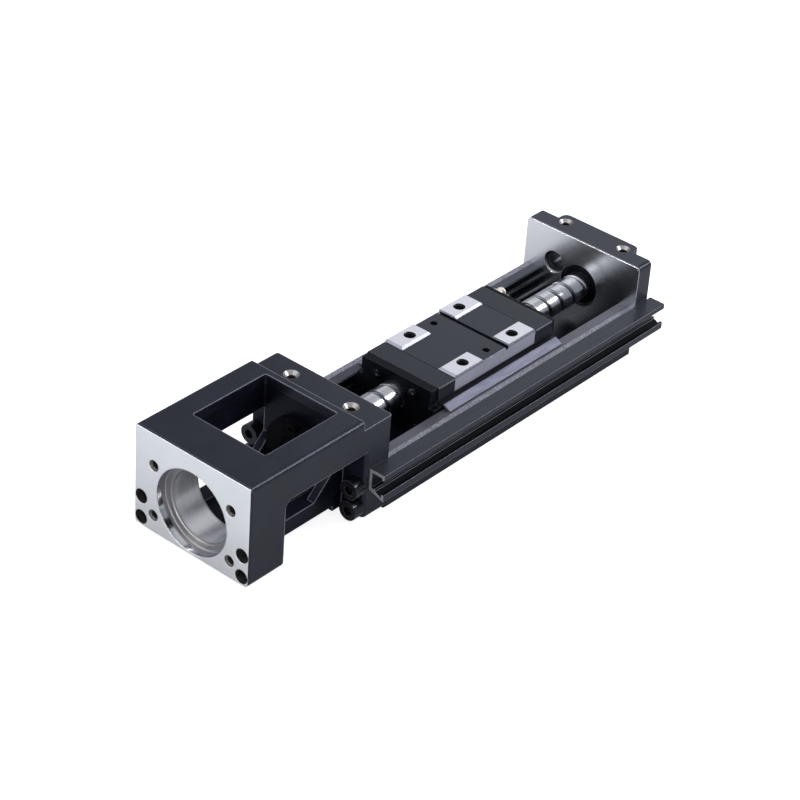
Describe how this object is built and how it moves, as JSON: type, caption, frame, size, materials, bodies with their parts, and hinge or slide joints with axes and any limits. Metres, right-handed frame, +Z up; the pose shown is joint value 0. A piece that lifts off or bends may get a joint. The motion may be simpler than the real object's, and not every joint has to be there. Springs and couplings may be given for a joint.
{
  "type": "ball screw linear module",
  "caption": "Compact single-axis linear module with a U-section steel rail, a ball screw, a low carriage with four tapped pads, a motor housing and a sensor rail.",
  "frame": {"origin": "on the screw's axis, in the plane of the motor face, at the centre of the motor pilot recess", "axes": "+Y along the screw from the motor end to the support end, +X towards the sensor rail, +Z up out of the carriage's pads"},
  "size_m": [0.068, 0.2496, 0.049],
  "materials": {
    "rail_steel": "black oxide steel, fine grain, ground band beside the races",
    "housing_black": "black anodised, satin, bare ground motor face and bores",
    "end_plate_black": "black anodised, satin, bare polished inner face",
    "black_screws": "black oxide, satin",
    "black_steel": "black oxide, satin",
    "bearing_steel": "ground and polished",
    "ball_steel": "polished",
    "sensor_rail_black": "black anodised extrusion, satin",
    "bright_screws": "zinc plated",
    "ground_screw": "ground and polished, dark grooves",
    "carriage_steel": "black oxide steel with bare ground pads",
    "cap_plastic": "black moulded, fine grain",
    "seal_rubber": "black, satin",
    "side_seal_plastic": "dark grey, satin",
    "nipple_steel": "nickel plated brass, bright"
  },
  "bodies": {
    "base": {"rail": "rail_steel", "motor_housing": "housing_black", "housing_screws": "black_screws", "bearing_cover": "black_steel", "bearing_cover_screws": "black_screws", "fixed_bearing_outer_rings": "bearing_steel", "fixed_bearing_balls": "ball_steel", "end_plate": "end_plate_black", "end_plate_screws": "black_screws", "support_bearing_outer_ring": "bearing_steel", "support_bearing_seal": "seal_rubber", "support_bearing_balls": "ball_steel", "sensor_rail": "sensor_rail_black", "sensor_rail_screws": "bright_screws"},
    "screw": {"ball_screw": "ground_screw", "lock_nut": "black_steel", "fixed_bearing_inner_rings": "bearing_steel", "support_bearing_inner_ring": "bearing_steel", "retaining_ring": "black_steel"},
    "carriage": {"carriage_block": "carriage_steel", "front_end_cap": "cap_plastic", "rear_end_cap": "cap_plastic", "front_seal": "seal_rubber", "rear_seal": "seal_rubber", "cap_screws": "bright_screws", "side_seals": "side_seal_plastic", "grease_nipple": "nipple_steel", "nut_balls": "ball_steel", "rail_balls": "ball_steel"}
  },
  "joints": [
    {"name": "carriage_slide", "type": "slide", "parent": "base", "child": "carriage", "axis": [0, 1, 0], "range_m": [-0.034, 0.034]},
    {"name": "screw_spin", "type": "hinge", "parent": "base", "child": "screw", "pos_m": [0, 0.1, 0], "axis": [0, 1, 0], "range_deg": [-1540, 1540]}
  ],
  "couplings": [
    {"joint": "screw_spin", "follows": "carriage_slide", "rad_per_m": -785.4}
  ]
}
